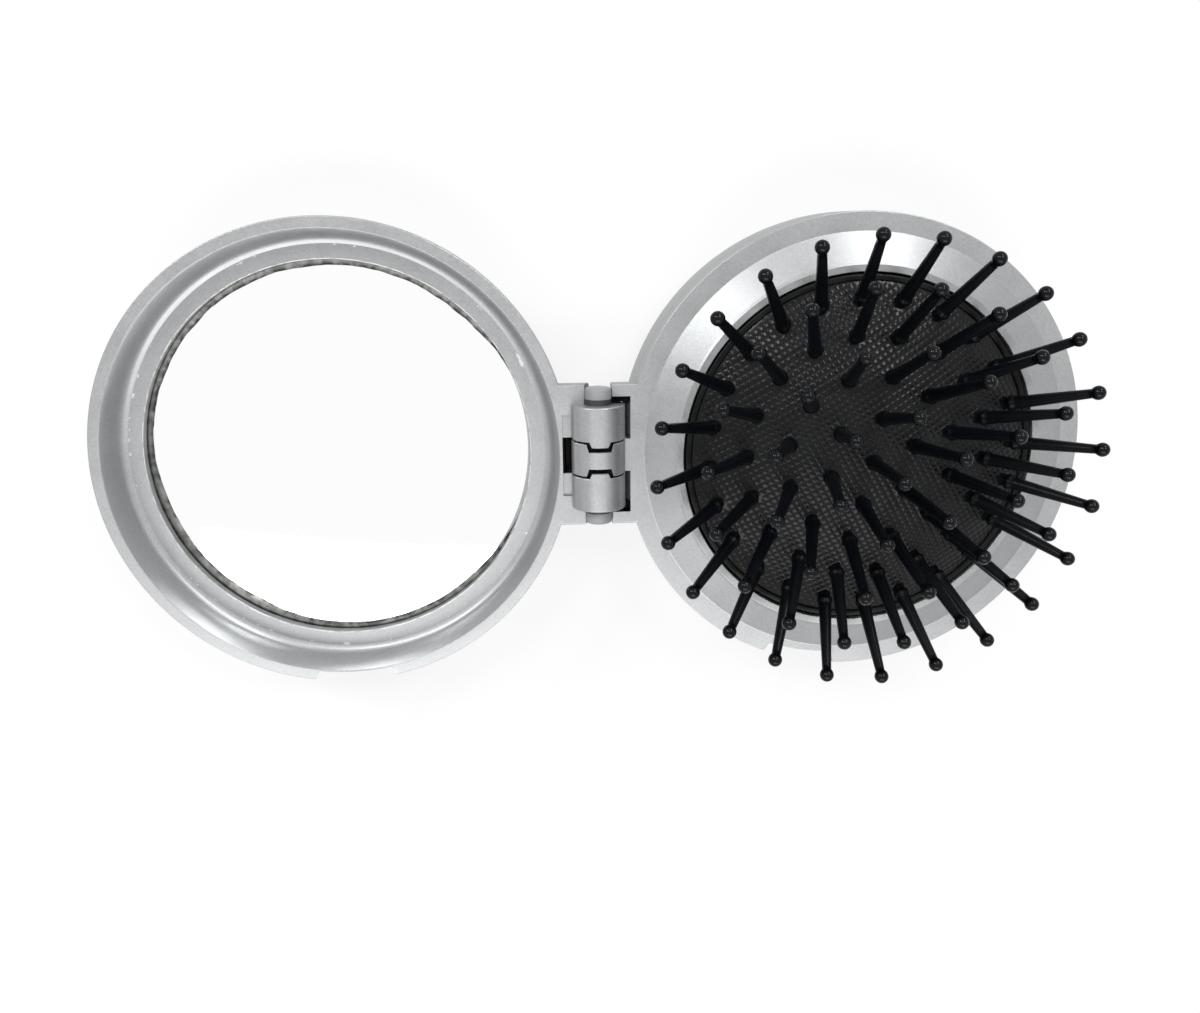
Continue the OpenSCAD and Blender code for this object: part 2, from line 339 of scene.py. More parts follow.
# Hollows at the hinge that get painted shade, a dark colour for the shade in them: inside a box
# (low x, y, z; high x, y, z), which is also mirrored over y, and within a distance of the hinge axis
hingeShade = dict(
    brushSlot=((3.3, 2.42, 9.0), (4.95, 8.25, 13.86), 4.78),
    slotEnd=((-1.9, 7.58, 12.55), (4.95, 8.65, 13.86), 4.95),
    axleNeck=((-2.0, 7.55, 11.9), (2.0, 8.4, 16.1), 1.98),
    lidWindow=((-5.4, -1.0, 9.0), (-3.88, 2.62, 13.86), 5.28),
    lidStop=((-4.15, -1.0, 9.55), (-3.2, 3.9, 10.2), 9.0),
    clickNotch=((-2.2, 0.85, 16.6), (2.2, 2.42, 17.22), 9.0),
)
knuckleGap = dict(start=2.38, stop=2.63, radius=3.7)


def between(tree, value, low, high):
    # 1 where a value lies between two limits in millimetres
    inputs = {0: value, 1: (low + high) / 2 * mm, 2: (high - low) / 2 * mm}
    return addNode(tree, "ShaderNodeMath", inputs, operation="COMPARE").outputs[0]


def makeHingeShadeGroup():
    # 1 where shade is painted: in any of the hollows, and between the knuckles within the radius about the
    #                           axis
    group, inlet, outlet = newGroup("hingeShade", {"Place": "Vector"}, {"Mask": "Float"})
    parts = addNode(group, "ShaderNodeSeparateXYZ", {0: inlet["Place"]}).outputs
    x, y, z = parts["X"], mathNode(group, "ABSOLUTE", parts["Y"]), parts["Z"]
    square = squaredLength(group, x, minus(group, z, hingeZ * mm))
    deep = mathNode(group, "LESS_THAN", square, (knuckleGap["radius"] * mm) ** 2)
    total = times(group, deep, between(group, y, knuckleGap["start"], knuckleGap["stop"]))
    for low, high, radius in hingeShade.values():
        inside = mathNode(group, "LESS_THAN", square, (radius * mm) ** 2)
        for value, start, stop in zip((x, y, z), low, high):
            inside = times(group, inside, between(group, value, start, stop))
        total = mathNode(group, "MAXIMUM", total, inside)
    fill(group, outlet, {"Mask": total})
    return group


flakeGroup = makeFlakeGroup()
grainGroup = makeGrainGroup()
rimWearGroup = makeRimWearGroup()
hingeShadeGroup = makeHingeShadeGroup()


# The bare colour is painted shade: dark and without metal, it stands in for the shade in the hinge's hollows
silverLook = dict(metal=0.7, colour=(0.355, 0.363, 0.367), paintedShadeColour=(0.008, 0.008, 0.009), specular=0.06,
                  flakeScale=5200.0, sparkle=0.14, bump=0.25, bumpDepth=0.02, wear=[])
lidWear = [
    dict(radius=30.1, width=0.35, scale=600.0, amount=0.45, colour=(0.62, 0.63, 0.64)),
    dict(radius=28.2, width=0.12, scale=600.0, amount=0.6, colour=(0.52, 0.53, 0.54)),
]


def silverPaint(name, look):
    # Flakes over the whole, chips along the lid's circles, and painted shade in the hinge's hollows: a dark
    # colour without metal
    material, tree, shader, place = newMaterial(name, {"Specular IOR Level": look["specular"]})
    paint = useGroup(tree, flakeGroup, {
        "Place": place, "Colour": (*look["colour"], 1),
        "Flake Scale": look["flakeScale"], "Sparkle": look["sparkle"]})
    colour = paint["Colour"]
    for wear in look["wear"]:
        chips = useGroup(tree, rimWearGroup, {
            "Place": place, "Centre X": lidX * mm, "Radius": wear["radius"] * mm,
            "Width": wear["width"] * mm, "Scale": wear["scale"], "Amount": wear["amount"]})
        colour = mixColour(tree, chips["Mask"], colour, wear["colour"])
    shaded = useGroup(tree, hingeShadeGroup, {"Place": place})["Mask"]
    fill(tree, shader, {
        "Base Color": mixColour(tree, shaded, colour, look["paintedShadeColour"]),
        "Metallic": spread(tree, shaded, 0, 1, look["metal"], 0),
        "Roughness": paint["Roughness"],
        "Normal": bumpFrom(tree, paint["Height"], look["bump"], look["bumpDepth"])})
    return material


def useGrain(tree, place, look):
    low, high = look["rough"]
    inputs = {"Place": place, "Scale": look["grainScale"], "Rough Low": low, "Rough High": high}
    return useGroup(tree, grainGroup, inputs)


grainDepth = 0.03    # depth of the bump that the grain makes
plasticLooks = dict(
    blackPlastic=dict(colour=(0.007, 0.0075, 0.008), lighter=(0.012, 0.0125, 0.013), specular=0.12,
                      grainScale=2500.0, rough=(0.26, 0.36), bump=0.15),
    # The axle's crevice colour is painted shade, on the axle where it lies in the slot's shade
    axlePlastic=dict(colour=(0.30, 0.31, 0.32), lighter=(0.36, 0.37, 0.38), specular=0.5,
                     grainScale=2500.0, rough=(0.42, 0.55), bump=0.2, hingeShadeColour=(0.03, 0.03, 0.032)),
    buttonPlastic=dict(colour=(0.1, 0.105, 0.11), lighter=(0.12, 0.125, 0.13), specular=0.5,
                       grainScale=2200.0, rough=(0.45, 0.6), bump=0.5),
    foamSkin=dict(colour=(0.35, 0.35, 0.34), lighter=(0.42, 0.42, 0.41), specular=0.5,
                  grainScale=1500.0, rough=(0.8, 0.95), bump=0.9),
)


def mouldedPlastic(name, look):
    # Grain in two shades; where the look gives a crevice colour, it paints shade into the hinge's hollows
    material, tree, shader, place = newMaterial(name, {"Specular IOR Level": look["specular"]})
    grain = useGrain(tree, place, look)
    colour = mixColour(tree, grain["Mask"], look["colour"], look["lighter"])
    if "hingeShadeColour" in look:
        inShade = useGroup(tree, hingeShadeGroup, {"Place": place})["Mask"]
        colour = mixColour(tree, inShade, colour, look["hingeShadeColour"])
    fill(tree, shader, {
        "Base Color": colour,
        "Roughness": grain["Roughness"],
        "Normal": bumpFrom(tree, grain["Height"], look["bump"], grainDepth)})
    return material


# The grooves' colour is painted shade, darker than the beads' for the shade between them
rubberLook = dict(bead=(0.006, 0.0065, 0.0075), grooveShade=(0.0045, 0.0045, 0.005), specular=0.16,
                  grainScale=6000.0, rough=(0.12, 0.2), grooveRough=0.6, bump=0.2)


def grooveRubber():
    # Beads with glossy tops; the grooves between them are dull, and painted shade darkens their colour
    look = rubberLook
    material, tree, shader, place = newMaterial("cushionRubber", {"Specular IOR Level": look["specular"]})
    grain = useGrain(tree, place, look)
    grooveShade = addNode(tree, "ShaderNodeAttribute", attribute_name="grooveShade").outputs["Fac"]
    deep = spread(tree, grooveShade, 0.1, 0.6, 0, 1)
    fill(tree, shader, {
        "Base Color": mixColour(tree, grooveShade, look["bead"], look["grooveShade"]),
        "Roughness": mixValue(tree, deep, grain["Roughness"], look["grooveRough"]),
        "Normal": bumpFrom(tree, grain["Height"], look["bump"], grainDepth)})
    return material


# The ball's polish starts at one distance along the pin and is full at the next, in millimetres
nylonLook = dict(colour=(0.0025, 0.003, 0.0045), specular=0.14, grainScale=1800.0, rough=(0.26, 0.36),
                 ballFrom=11.4, ballTo=12.2, ballRough=0.06, bump=0.12)


def pinNylon():
    # Dull on the shaft and polished on the ball, by the distance along the pin
    look = nylonLook
    material, tree, shader, place = newMaterial("pinNylon", {"Specular IOR Level": look["specular"]})
    grain = useGrain(tree, place, look)
    along = addNode(tree, "ShaderNodeAttribute", attribute_name="alongPin").outputs["Fac"]
    ball = spread(tree, along, look["ballFrom"], look["ballTo"], 0, 1)
    fill(tree, shader, {
        "Base Color": (*look["colour"], 1),
        "Roughness": mixValue(tree, ball, grain["Roughness"], look["ballRough"]),
        "Normal": bumpFrom(tree, grain["Height"], look["bump"], grainDepth)})
    return material


# Dull band of worn silvering along the mirror's edge: from a radius outwards, narrower towards the hinge and
# wider towards an azimuth, with a ragged inner edge
mirrorLook = dict(radius=27.2, hingeShare=0.9, hingeRamp=(0.75, 0.95), wide=0.5, wideAt=222.0,
                  wideRamp=(0.75, 0.97), ragged=0.7, ragScale=190.0, fade=0.06, paleFrom=0.1, paleTo=0.6,
                  darkColour=(0.05, 0.052, 0.05), paleColour=(0.4, 0.4, 0.38), wornRough=0.3,
                  silver=(0.97, 0.975, 0.97), polish=0.015, markScale=900.0)


def mirrorSilver():
    # The band starts where r > radius + hingeShare * s(cos a) - wide * s(cos(a - wideAt))
    # + ragged * (noise - 0.5), with s a ramp from 0 to 1
    look = mirrorLook
    material, tree, shader, place = newMaterial("mirrorSilver", {"Metallic": 1.0})
    parts = addNode(tree, "ShaderNodeSeparateXYZ", {0: place}).outputs
    x, y = minus(tree, parts["X"], lidX * mm), parts["Y"]
    r = mathNode(tree, "MAXIMUM", mathNode(tree, "SQRT", squaredLength(tree, x, y)), 0.001)
    turn = math.radians(look["wideAt"])
    lean = plus(tree, times(tree, x, math.cos(turn)), times(tree, y, math.sin(turn)))
    atHinge = spread(tree, mathNode(tree, "DIVIDE", x, r), *look["hingeRamp"], 0, look["hingeShare"] * mm)
    wide = spread(tree, mathNode(tree, "DIVIDE", lean, r), *look["wideRamp"], 0, look["wide"] * mm)
    rags = minus(tree, noiseAt(tree, place, look["ragScale"], 3.0), 0.5)
    start = minus(tree, plus(tree, atHinge, look["radius"] * mm), wide)
    start = plus(tree, start, times(tree, rags, look["ragged"] * mm))
    past = minus(tree, r, start)
    worn = spread(tree, past, 0, look["fade"] * mm, 0, 1)
    outward = spread(tree, past, look["paleFrom"] * mm, look["paleTo"] * mm, 0, 0.7)
    marks = spread(tree, noiseAt(tree, place, look["markScale"], 6.0), 0.4, 0.65, -0.2, 0.5)
    stain = mixColour(tree, plus(tree, outward, marks), look["darkColour"], look["paleColour"])
    fill(tree, shader, {
        "Base Color": mixColour(tree, worn, look["silver"], stain),
        "Roughness": spread(tree, worn, 0, 1, look["polish"], look["wornRough"])})
    return material


silver = silverPaint("silverPaint", silverLook)
lidSilver = silverPaint("lidSilver", {**silverLook, "wear": lidWear})
plastics = {name: mouldedPlastic(name, look) for name, look in plasticLooks.items()}
cushionRubber = grooveRubber()
pinBlack = pinNylon()
mirrorFace = mirrorSilver()
print("materials are made")


mostOfLine = 0.48    # share of a line that the arc at one of its ends may take


def roundCorners(corners, steps=4, closed=True):
    # Each corner (r, z, radius) becomes an arc that touches both of its lines; radius 0 keeps it sharp
    made = []
    for k, (r, z, radius) in enumerate(corners):
        here = np.array([r, z], float)
        if radius <= 0 or (not closed and k in (0, len(corners) - 1)):
            made.append(here)
            continue
        back = np.array(corners[k - 1][:2]) - here
        ahead = np.array(corners[(k + 1) % len(corners)][:2]) - here
        backLength, aheadLength = np.linalg.norm(back), np.linalg.norm(ahead)
        back, ahead = back / backLength, ahead / aheadLength
        half = math.acos(np.clip(back @ ahead, -1, 1)) / 2
        cut = min(radius / math.tan(half), mostOfLine * backLength, mostOfLine * aheadLength)
        middle = here + (back + ahead) / np.linalg.norm(back + ahead) * cut / math.cos(half)
        first, last = here + back * cut - middle, here + ahead * cut - middle
        sweep = math.pi - 2 * half
        share = np.linspace(0, 1, steps + 1)[:, None]
        bend = np.sin((1 - share) * sweep) * first + np.sin(share * sweep) * last
        made.extend(middle + bend / math.sin(sweep))
    return np.array(made)


def gridQuads(rows, columns, wrapRows=False, wrapColumns=True):
    # Point (i, j) of the grid has the number i * columns + j
    i = np.arange(rows if wrapRows else rows - 1)[:, None]
    j = np.arange(columns if wrapColumns else columns - 1)[None, :]
    down, right = (i + 1) % rows, (j + 1) % columns
    corners = [i * columns + j, i * columns + right, down * columns + right, down * columns + j]
    return np.stack(corners, -1).reshape(-1, 4)


samePoint, noLength = 2e-7, 1e-8    # metres


def meshFrom(name, points, quads, extra=None):
    # Makes a piece of points in millimetres and quads, without doubles and with its faces outwards
    mesh = bpy.data.meshes.new(name)
    mesh.vertices.add(len(points))
    mesh.vertices.foreach_set("co", (points * mm).astype(np.float32).ravel())
    mesh.loops.add(quads.size)
    mesh.loops.foreach_set("vertex_index", quads.astype(np.int32).ravel())
    mesh.polygons.add(len(quads))
    mesh.polygons.foreach_set("loop_start", np.arange(0, quads.size, 4, dtype=np.int32))
    for title, values in (extra or {}).items():
        attribute = mesh.attributes.new(title, "FLOAT", "POINT")
        attribute.data.foreach_set("value", values.astype(np.float32))
    mesh.update(calc_edges=True)
    tidy = bmesh.new()
    tidy.from_mesh(mesh)
    bmesh.ops.remove_doubles(tidy, verts=tidy.verts, dist=samePoint)
    bmesh.ops.dissolve_degenerate(tidy, edges=tidy.edges, dist=noLength)
    bmesh.ops.recalc_face_normals(tidy, faces=tidy.faces)
    tidy.to_mesh(mesh)
    tidy.free()
    piece = bpy.data.objects.new(name, mesh)
    scene.collection.objects.link(piece)
    return piece


def turned(profile, segments):
    # A profile (r, along) turned about its line: r cos a, r sin a and along, each as a grid
    angle = np.arange(segments) * (2 * math.pi / segments)
    r, along = profile[:, :1], profile[:, 1:]
    return r * np.cos(angle), r * np.sin(angle), along + 0 * angle


def lathe(name, profile, centreX, segments=256, closed=True):
    # Turns a profile (r, z) about the vertical line through centreX: x = r cos a, y = r sin a
    across, aside, z = turned(profile, segments)
    points = np.stack([centreX + across, aside, z], -1)
    return meshFrom(name, points.reshape(-1, 3), gridQuads(len(profile), segments, wrapRows=closed))


def rod(name, radius, y0, y1, rounding, segments=96):
    # A round bar along the hinge axis with rounded ends: x = r cos a, z = axis + r sin a
    corners = [(0, y0, 0), (radius, y0, rounding), (radius, y1, rounding), (0, y1, 0)]
    profile = roundCorners(corners, closed=False)
    across, up, y = turned(profile, segments)
    points = np.stack([across, y, hingeZ + up], -1)
    return meshFrom(name, points.reshape(-1, 3), gridQuads(len(profile), segments))


def applied(piece):
    graph = bpy.context.evaluated_depsgraph_get()
    mesh = bpy.data.meshes.new_from_object(piece.evaluated_get(graph))
    piece.modifiers.clear()
    piece.data = mesh
    return piece


def modified(piece, kind, **settings):
    # Adds one modifier and applies it
    modifier = piece.modifiers.new(kind.lower(), kind)
    for key, value in settings.items():
        setattr(modifier, key, value)
    return applied(piece)


def bevelled(piece, rounding):
    return modified(piece, "BEVEL", width=rounding * mm, segments=3, limit_method="ANGLE")


def slab(name, low, high, rounding=0.0):
    # A box between two corners, its edges rounded by a bevel
    x, y, z = zip(low, high)
    points = np.array([(a, b, c) for c in z for b in y for a in x], float)
    quads = np.array([(0, 2, 3, 1), (4, 5, 7, 6), (0, 1, 5, 4), (2, 6, 7, 3), (0, 4, 6, 2), (1, 3, 7, 5)])
    piece = meshFrom(name, points, quads)
    return bevelled(piece, rounding) if rounding else piece


def prism(name, outline, z0, z1):
    # An outline (x, y) drawn out from z0 to z1, closed by fans from its middle
    outline = np.array(outline, float)
    middle = np.repeat(outline.mean(0)[None], len(outline), 0)
    layers = [(middle, z0), (outline, z0), (outline, z1), (middle, z1)]
    points = np.concatenate([np.column_stack([flat, np.full(len(flat), z)]) for flat, z in layers])
    return meshFrom(name, points, gridQuads(4, len(outline)))


def cut(piece, tool, operation="DIFFERENCE"):
    modified(piece, "BOOLEAN", object=tool, operation=operation, solver="EXACT")
    bpy.data.objects.remove(tool)
    return piece


def join(piece, other):
    return cut(piece, other, "UNION")


def onSide(side, near, far):
    # The stretch from near to far on one side of the middle, its lower end first
    return sorted((side * near, side * far))


def dress(piece, material, body, replaced, crease=32, flat=False):
    # Gives a piece its material, smooth faces with sharp creases and its body, and hides the node that it
    # stands for;
    # flat keeps large plane faces plain beside small roundings
    piece.data.materials.clear()
    piece.data.materials.append(material)
    piece.data.polygons.foreach_set("use_smooth", np.ones(len(piece.data.polygons), bool))
    piece.data.set_sharp_from_angle(angle=math.radians(crease))
    if flat:
        modified(piece, "WEIGHTED_NORMAL", keep_sharp=True, weight=90)
    piece.data.update()
    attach(piece, body)
    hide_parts(replaced)
    return piece


# Heights named over the axle count from the hinge axis, other heights from the table
brushRim = dict(flatInner=31.25, flatRounding=0.3, coneFoot=(27.1, 16.1), collarEdge=(26.8, 16.3),
                collarInner=25.8, shelfOverAxle=0.5, shelfOuter=27.25, skirtOuter=32.1, skirtInner=30.6,
                skirtTop=12.3, skirtFoot=8.0, edge=0.14)
lidRim = dict(coveTop=32.36, coveFoot=30.23, coveFootZ=8.7, footSlope=0.34, lipInner=28.1, lipZ=8.7,
              lipThick=1.45, seat=29.6, seatFoot=6.0, skirtInner=30.6, skirtKnee=(30.75, 7.0),
              skirtOuter=33.1, edge=0.14)
hinge = dict(knuckle=3.9, relief=4.7, window=5.2, windowHalf=6.0, middleHalf=2.4, sideFrom=2.6, sideTo=7.6,
             tongueHalf=10.4, tongueThick=2.2, brushTongue=7.4, lidTongue=6.2, lidTongueMiddle=5.2,
             tongueEnd=1.2, brushArm=6.5, lidArm=5.5, armLap=0.3, armDrop=0.45, slotFrom=7.5, slotEnd=7.62,
             slotReach=8.6, slotFloor=12.6, axlePlay=0.02, bore=1.95, rounding=0.22)
sill = dict(x=(3.7, 4.4), y=(7.3, 7.7), z=(11.75, 12.4))
clickNotch = dict(overhang=0.3, reach=1.5, wide=2.05, narrow=1.6, floorOverAxle=2.7)
# Azimuths in degrees round each half
notches = dict(depth=4.4, slant=1.6, beyond=1.0, brush=dict(start=247.9, stop=267.7, inner=31.35),
               lid=dict(start=260.6, stop=282.6, inner=32.61))


def arc(centreX, radius, start, stop):
    # 13 points (x, y) = radius (cos a, sin a) from one azimuth to another
    angle = np.radians(np.linspace(start, stop, 13))
    return np.column_stack([centreX + radius * np.cos(angle), radius * np.sin(angle)])


def fingerNotch(centreX, start, stop, inner):
    # Outline of a finger notch: an inner arc, and a wider outer arc beyond the rim
    slant = notches["slant"]
    outline = np.concatenate([arc(centreX, inner, start + slant, stop - slant),
                              arc(centreX, rimRadius + notches["beyond"], stop, start)])
    return prism("notchTool", outline, rimTop - notches["depth"], rimTop + 2)


def makeBrushBezel():
    # The rim's profile turned about the middle of the brush half, with a tongue and the middle knuckle
    rim, e = brushRim, brushRim["edge"]
    shelf = hingeZ + rim["shelfOverAxle"]
    profile = roundCorners([
        (rimRadius, brushSeam, e / 2), (rimRadius, rimTop, e),
        (rim["flatInner"], rimTop, rim["flatRounding"]), (*rim["coneFoot"], e), (*rim["collarEdge"], e),
        (rim["collarInner"], rim["collarEdge"][1], e), (rim["collarInner"], shelf, 0.1),
        (rim["shelfOuter"], shelf, 0), (rim["skirtInner"], rim["skirtTop"], 0),
        (rim["skirtInner"], rim["skirtFoot"], e), (rim["skirtOuter"], rim["skirtFoot"], e),
        (rim["skirtOuter"], brushSeam, 0.05)])
    bezel = lathe("brushBezel", profile, brushX)
    cut(bezel, fingerNotch(brushX, **notches["brush"]))
    half, rounding, axleHole = hinge["tongueHalf"], hinge["rounding"], axleRadius + hinge["axlePlay"]
    tongueFoot = rimTop - hinge["tongueThick"]
    join(bezel, slab("tongue", (axleHole, -half, tongueFoot), (hinge["brushTongue"], half, rimTop), rounding))
    for side in (1, -1):
        y0, y1 = onSide(side, hinge["middleHalf"], hinge["slotEnd"])
        cut(bezel, rod("relief", hinge["relief"], y0, y1, 0))
        y0, y1 = onSide(side, hinge["slotFrom"], hinge["slotReach"])
        cut(bezel, slab("slotEnd", (-1, y0, hinge["slotFloor"]), (hinge["relief"], y1, rimTop + 1)))
        # a sill beside the lid's knuckle, so that the table doesn't show at the slot's corner; where it lies
        # in the slot's painted-shade box it shows dark, standing in for shade
        y0, y1 = onSide(side, *sill["y"])
        join(bezel, slab("sill", (sill["x"][0], y0, sill["z"][0]), (sill["x"][1], y1, sill["z"][1])))
    middle = hinge["middleHalf"]
    knuckle = rod("knuckle", hinge["knuckle"], -middle, middle, rounding)
    join(knuckle, slab("arm", (0, -middle, brushSeam), (hinge["brushArm"], middle, rimTop), rounding))
    for side in (1, -1):
        outer = side * (middle + clickNotch["overhang"])
        inner = side * (middle + clickNotch["overhang"] - clickNotch["reach"])
        wide, narrow = clickNotch["wide"], clickNotch["narrow"]
        outline = [(-wide, outer), (wide, outer), (narrow, inner), (-narrow, inner)]
        cut(knuckle, prism("clickNotch", outline, hingeZ + clickNotch["floorOverAxle"], hingeZ + 6))
    join(bezel, knuckle)
    return cut(bezel, rod("bore", axleHole, -3, 3, 0))


def makeLidBezel():
    # The cove rises as footSlope u + the rest of its height times u^4, u being the share of its width
    rim, e = lidRim, lidRim["edge"]
    u = np.linspace(0.97, 0, 16)
    width, height = rim["coveTop"] - rim["coveFoot"], rimTop - rim["coveFootZ"]
    coveR = rim["coveFoot"] + width * u
    coveZ = rim["coveFootZ"] + width * rim["footSlope"] * u + (height - width * rim["footSlope"]) * u ** 4
    lip, lipZ = rim["lipInner"], rim["lipZ"]
    seatTop = lipZ - rim["lipThick"]
    profile = roundCorners(
        [(rimRadius, lidSeam, e / 2), (rimRadius, rimTop, e), (rim["coveTop"], rimTop, e)]
        + [(r, z, 0) for r, z in zip(coveR, coveZ)]
        + [(lip, lipZ, e), (lip, seatTop, e), (rim["seat"], seatTop, 0), (rim["seat"], rim["seatFoot"], e),
           (rim["skirtInner"], rim["seatFoot"], e), (*rim["skirtKnee"], 0),
           (rim["skirtOuter"], lidSeam, 0.05)])
    bezel = lathe("lidBezel", profile, lidX)
    cut(bezel, fingerNotch(lidX, **notches["lid"]))
    half, end, rounding = hinge["tongueHalf"], hinge["tongueEnd"], hinge["rounding"]
    # the tongue ends inside the rim
    reach, middle = hinge["lidTongue"], hinge["lidTongueMiddle"]
    outline = [(-end, half), (-end, -half), (-reach, -half), (-middle, 0), (-reach, half)]
    join(bezel, bevelled(prism("tongue", outline, rimTop - hinge["tongueThick"], rimTop), rounding))
    cut(bezel, rod("window", hinge["window"], -hinge["windowHalf"], hinge["windowHalf"], 0))
    for side in (1, -1):
        y0, y1 = onSide(side, hinge["sideFrom"], hinge["sideTo"])
        knuckle = rod("knuckle", hinge["knuckle"], y0, y1, rounding)
        y0, y1 = onSide(side, hinge["sideFrom"], hinge["windowHalf"] + hinge["armLap"])
        armTop = rimTop - hinge["armDrop"]
        join(knuckle, slab("arm", (-hinge["lidArm"], y0, lidSeam), (0, y1, armTop), rounding))
        join(bezel, knuckle)
    return cut(bezel, rod("bore", hinge["bore"], -12, 12, 0))


brushShell = dict(corner=6.0, wall=1.8, well=15.0, wellLip=1.2, wellRise=0.6)
lidCover = dict(corner=7.0, wall=1.8, lean=12.6, lap=0.1, ribs=((22.0, 20.5), (11.0, 9.5)), ribTop=4.0,
                stopLow=(-6.0, -3.8, 7.6), stopHigh=(-3.3, 2.5, 9.8))


def makeBrushShell():
    # The shell's wall, rounded at the foot, turned about its middle, with a lip round the button's well
    wall, corner, well = brushShell["wall"], brushShell["corner"], brushShell["well"]
    inner = rimRadius - wall
    lipR, lipZ = well + brushShell["wellLip"], wall + brushShell["wellRise"]
    profile = roundCorners([
        (well, 0, 0.5), (rimRadius, 0, corner), (rimRadius, brushSeam, 0.18), (inner, brushSeam, 0.05),
        (inner, wall, corner - wall), (lipR, wall, 0.15), (lipR, lipZ, 0.2), (well, lipZ, 0.3)], steps=10)
    shell = lathe("brushBackShell", profile, brushX)
    return cut(shell, fingerNotch(brushX, **notches["brush"]))


def makeLidCover():
    # A leaning wall and a flat back turned about the lid's middle, with two ribs inside and the hinge's stop
    wall, corner, ribTop = lidCover["wall"], lidCover["corner"], lidCover["ribTop"]
    lean = math.tan(math.radians(lidCover["lean"]))
    inner = rimRadius - wall - (lidSeam - wall) * lean
    inside = [(lidRim["skirtOuter"] + lidCover["lap"], lidSeam, 0.05), (inner, wall, corner - wall)]
    for start, stop in lidCover["ribs"]:
        inside += [(start, wall, 0.2), (start, ribTop, 0.1), (stop, ribTop, 0.1), (stop, wall, 0.2)]
    outside = [(0, 0, 0), (rimRadius - lidSeam * lean, 0, corner), (rimRadius, lidSeam, 0.18)]
    profile = roundCorners(outside + inside + [(0, wall, 0)], steps=10, closed=False)
    cover = lathe("lidBackCover", profile, lidX, closed=False)
    join(cover, slab("stop", lidCover["stopLow"], lidCover["stopHigh"], hinge["rounding"]))
    return cut(cover, fingerNotch(lidX, **notches["lid"]))


dress(makeBrushBezel(), silver, "brush_half", "brush_bezel", flat=True)
dress(makeBrushShell(), silver, "brush_half", "brush_back_shell")
dress(makeLidBezel(), lidSilver, "lid", "lid_bezel", flat=True)
dress(makeLidCover(), silver, "lid", "lid_back_cover")
axle = rod("hingeAxle", axleRadius, axleLow[1], axleHigh[1], 0.35)
dress(axle, plastics["axlePlastic"], "brush_half", "hinge_pin")
print("casings and hinge are made")


clickTab = dict(width=3.0, taper=0.35, depth=1.1, inside=0.6, proud=0.02, still=0.3, keep=0.3)


def makeClickTab(name, side):
    # A strip of the knuckle's round face: z follows the circle over x, and the free end is narrower
    end, start = tabLow[1], tabHigh[1] + clickTab["inside"]
    y = np.linspace(end, start, 6)
    half = clickTab["width"] / 2 - clickTab["taper"] * np.clip((tabHigh[1] - y) / (tabHigh[1] - end), 0, 1)
    x = np.linspace(-1, 1, 13)[None, :] * half[:, None]
    radius = hinge["knuckle"] + clickTab["proud"]
    top = hingeZ + np.sqrt(radius ** 2 - x ** 2)
    bottom = np.full_like(top, hingeZ + hinge["knuckle"] - clickTab["depth"])
    rows = np.repeat(y[:, None], x.shape[1], 1)
    upper = np.stack([x, rows, top], -1)
    lower = np.stack([x, rows, bottom], -1)
    rings = np.concatenate([upper, lower[:, ::-1]], 1)
    ends = [np.repeat(ring.mean(0)[None], len(ring), 0)[None] for ring in (rings[0], rings[-1])]
    points = np.concatenate([ends[0], rings, ends[1]]).reshape(-1, 3) * np.array([side, side, 1])
    return meshFrom(name, points, gridQuads(len(y) + 2, rings.shape[1]))


for end, side in (("upper", 1), ("lower", -1)):
    tab = dress(makeClickTab(f"{end}ClickTab", side), silver, "lid", f"{end}_click_tab")
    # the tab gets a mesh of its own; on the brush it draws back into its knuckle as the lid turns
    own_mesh(tab)


def disc(name, low, high, edge, steps, segments):
    # A flat round plate with rounded edges, turned about the lid's middle
    r, z0, z1 = high[1], low[2], high[2]
    profile = roundCorners([(0, z0, 0), (r, z0, edge), (r, z1, edge), (0, z1, 0)], steps, closed=False)
    return lathe(name, profile, lidX, segments, closed=False)


mirror = disc("mirrorGlass", glassLow, glassHigh, edge=0.3, steps=4, segments=256)
dress(mirror, mirrorFace, "lid", "mirror_glass")
foam = disc("mirrorFoamPad", foamLow, foamHigh, edge=0.4, steps=6, segments=160)
dress(foam, plastics["foamSkin"], "lid", "mirror_foam_pad")
print("mirror is made")


pad = dict(edgeZ=carrierHigh[2] - 0.2, lipInner=24.6, lipOuter=25.55, wallInner=25.0, flangeTop=14.25,
           deckTop=13.15, undercut=0.4, lipLean=0.1, vents=6, ventRadius=2.5, ventAt=19.0)
pad["rise"] = cushionHigh[2] - pad["edgeZ"]
pad["sphere"] = (pad["lipInner"] ** 2 + pad["rise"] ** 2) / (2 * pad["rise"])


def domeHeight(r, thick=0.0):
    # Height of the dome over its edge at a distance r from the middle, as part of a sphere
    return np.sqrt((pad["sphere"] - thick) ** 2 - r ** 2) - (pad["sphere"] - pad["rise"])


